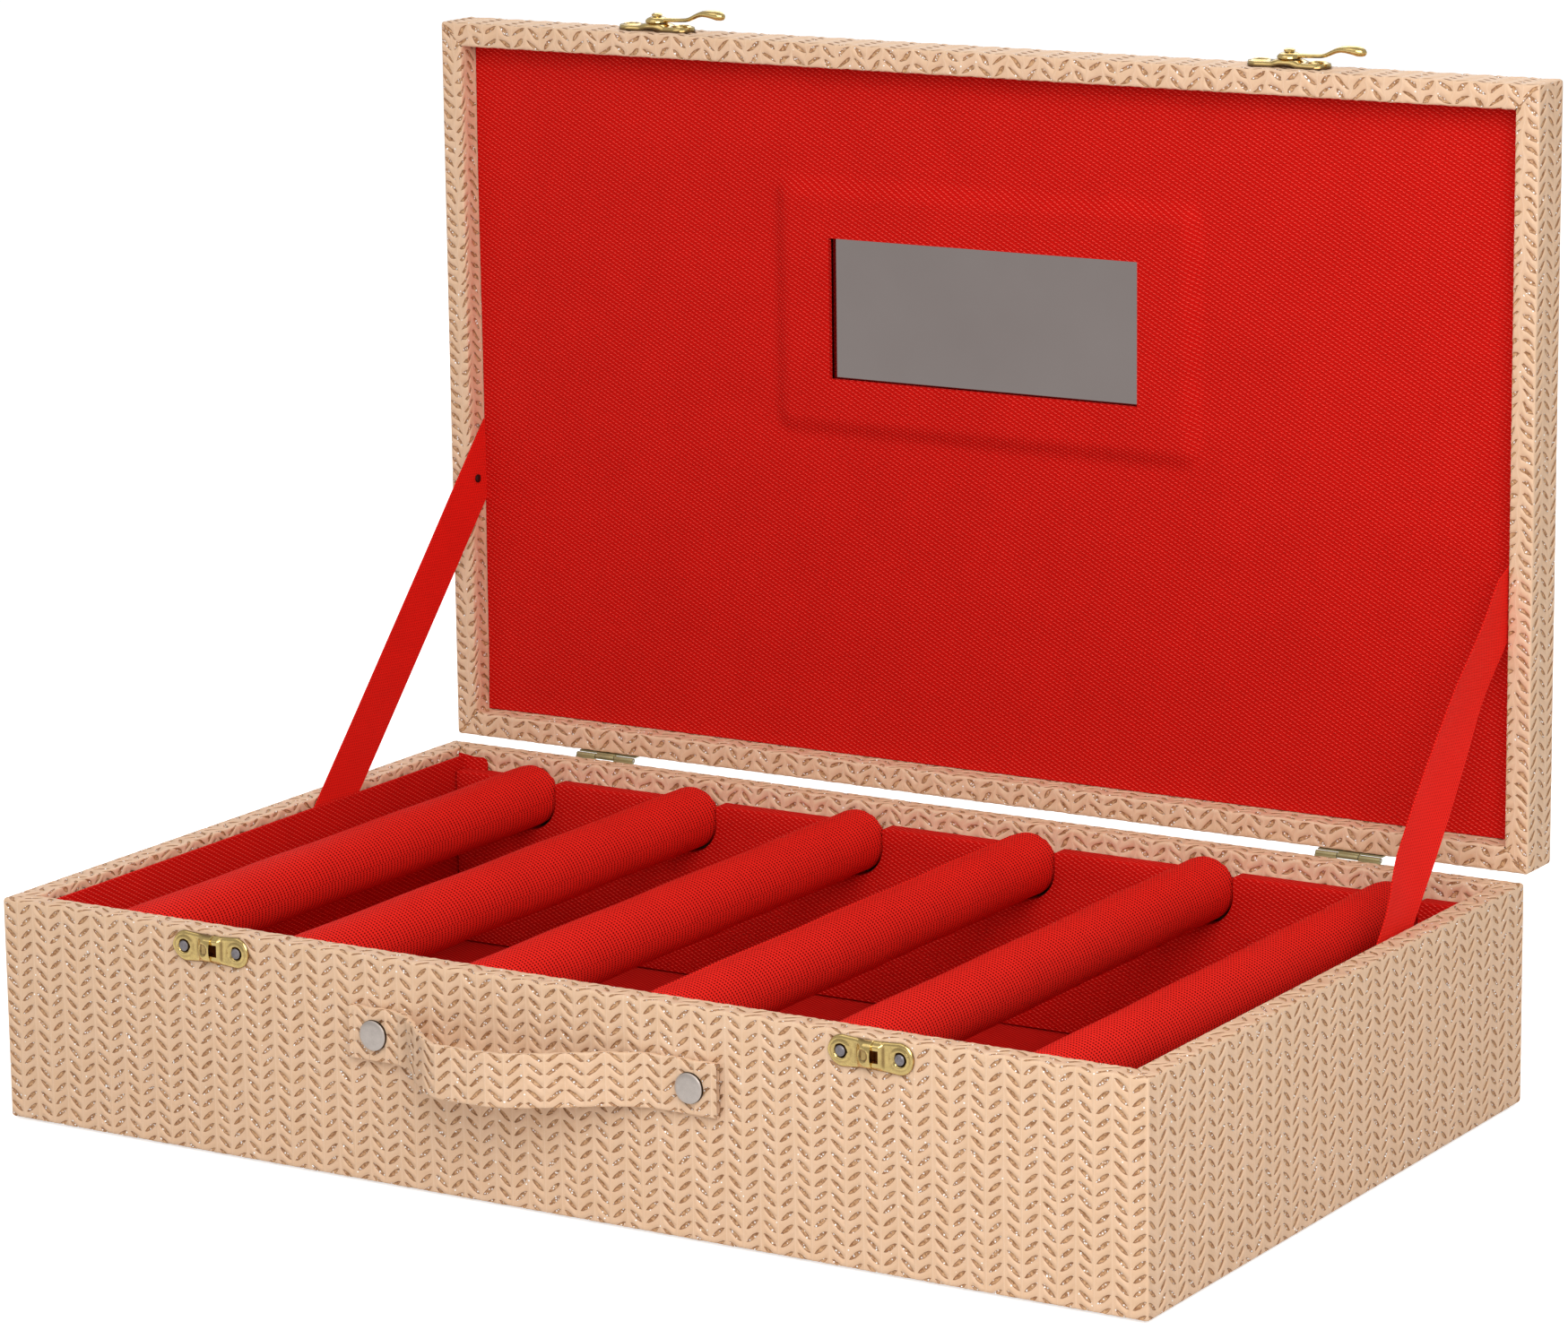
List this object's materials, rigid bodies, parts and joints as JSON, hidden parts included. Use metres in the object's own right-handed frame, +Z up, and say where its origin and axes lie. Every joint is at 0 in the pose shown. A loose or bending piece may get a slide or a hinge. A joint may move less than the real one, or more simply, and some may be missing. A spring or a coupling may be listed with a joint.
{
  "type": "bangle box",
  "caption": "Shallow covered case with lift-out cloth-covered rods for hanging bangles, a hinged mirror lid held by ribbons, swing hook latches and a carrying strap.",
  "frame": {"origin": "centre of the tray's underside", "axes": "+X to the right along the long side, +Y to the back where the hinges are, +Z up; the lid stands open at rest"},
  "size_m": [0.42, 0.2946, 0.3392],
  "materials": {
    "leatherette": "embossed leaf herringbone leatherette, peach beige with tan recesses and gold specks",
    "board": "raw plywood, hidden under the covering",
    "red_lining": "matt red non-woven felt over card",
    "rod_sleeve": "fine red knit, slightly glossy",
    "rod_core": "raw, hidden in the sleeve",
    "ribbon": "satin red woven ribbon",
    "brass": "pressed sheet, bright plated, slightly dulled",
    "steel": "satin grey nails, rivet caps and pins",
    "dark_nail": "dark tack",
    "mirror": "plain silvered glass"
  },
  "bodies": {
    "tray": {"tray_bottom_board": "board", "tray_front_board": "board", "tray_back_board": "board", "tray_left_board": "board", "tray_right_board": "board", "tray_cover": "leatherette", "underside_sheet": "leatherette", "floor_lining": "red_lining", "left_lining": "red_lining", "right_lining": "red_lining", "front_insert": "red_lining", "back_insert": "red_lining", "carrying_strap": "leatherette", "strap_rivet_left": "steel", "strap_rivet_right": "steel", "catch_plate_left": "brass", "catch_plate_right": "brass", "catch_nail_1": "steel", "catch_nail_2": "steel", "catch_nail_3": "steel", "catch_nail_4": "steel", "hinge_tray_leaf_left": "brass", "hinge_tray_leaf_right": "brass", "hinge_pin_left": "steel", "hinge_pin_right": "steel", "stay_ribbon_left": "ribbon", "stay_ribbon_right": "ribbon"},
    "lid": {"lid_top_board": "board", "lid_front_board": "board", "lid_back_board": "board", "lid_left_board": "board", "lid_right_board": "board", "lid_cover": "leatherette", "lid_panel": "red_lining", "mirror_glass": "mirror", "hinge_lid_leaf_left": "brass", "hinge_lid_leaf_right": "brass", "latch_plate_left": "brass", "latch_plate_right": "brass", "latch_nail_1": "steel", "latch_nail_2": "steel", "latch_nail_3": "steel", "latch_nail_4": "steel", "ribbon_nail_left": "dark_nail", "ribbon_nail_right": "dark_nail"},
    "hook_left": {"swing_hook_left": "brass"},
    "hook_right": {"swing_hook_right": "brass"},
    "rod_1": {"rod_1_core": "rod_core", "rod_1_sleeve": "rod_sleeve"},
    "rod_2": {"rod_2_core": "rod_core", "rod_2_sleeve": "rod_sleeve"},
    "rod_3": {"rod_3_core": "rod_core", "rod_3_sleeve": "rod_sleeve"},
    "rod_4": {"rod_4_core": "rod_core", "rod_4_sleeve": "rod_sleeve"},
    "rod_5": {"rod_5_core": "rod_core", "rod_5_sleeve": "rod_sleeve"},
    "rod_6": {"rod_6_core": "rod_core", "rod_6_sleeve": "rod_sleeve"}
  },
  "joints": [
    {"name": "lid_hinge", "type": "hinge", "parent": "tray", "child": "lid", "pos_m": [0, 0.1294, 0.0749], "axis": [-1, 0, 0], "range_deg": [-90, 0], "deforming": ["stay_ribbon_left", "stay_ribbon_right"]},
    {"name": "hook_left_pivot", "type": "hinge", "parent": "lid", "child": "hook_left", "pos_m": [-0.1255, 0.13905, 0.33435], "axis": [0, 0, 1], "range_deg": [-80, 90]},
    {"name": "hook_right_pivot", "type": "hinge", "parent": "lid", "child": "hook_right", "pos_m": [0.1175, 0.13905, 0.33435], "axis": [0, 0, 1], "range_deg": [-80, 90]},
    {"name": "rod_1_lift", "type": "slide", "parent": "tray", "child": "rod_1", "axis": [0, 0, 1], "range_m": [0, 0.12]},
    {"name": "rod_2_lift", "type": "slide", "parent": "tray", "child": "rod_2", "axis": [0, 0, 1], "range_m": [0, 0.12]},
    {"name": "rod_3_lift", "type": "slide", "parent": "tray", "child": "rod_3", "axis": [0, 0, 1], "range_m": [0, 0.12]},
    {"name": "rod_4_lift", "type": "slide", "parent": "tray", "child": "rod_4", "axis": [0, 0, 1], "range_m": [0, 0.12]},
    {"name": "rod_5_lift", "type": "slide", "parent": "tray", "child": "rod_5", "axis": [0, 0, 1], "range_m": [0, 0.12]},
    {"name": "rod_6_lift", "type": "slide", "parent": "tray", "child": "rod_6", "axis": [0, 0, 1], "range_m": [0, 0.12]}
  ]
}
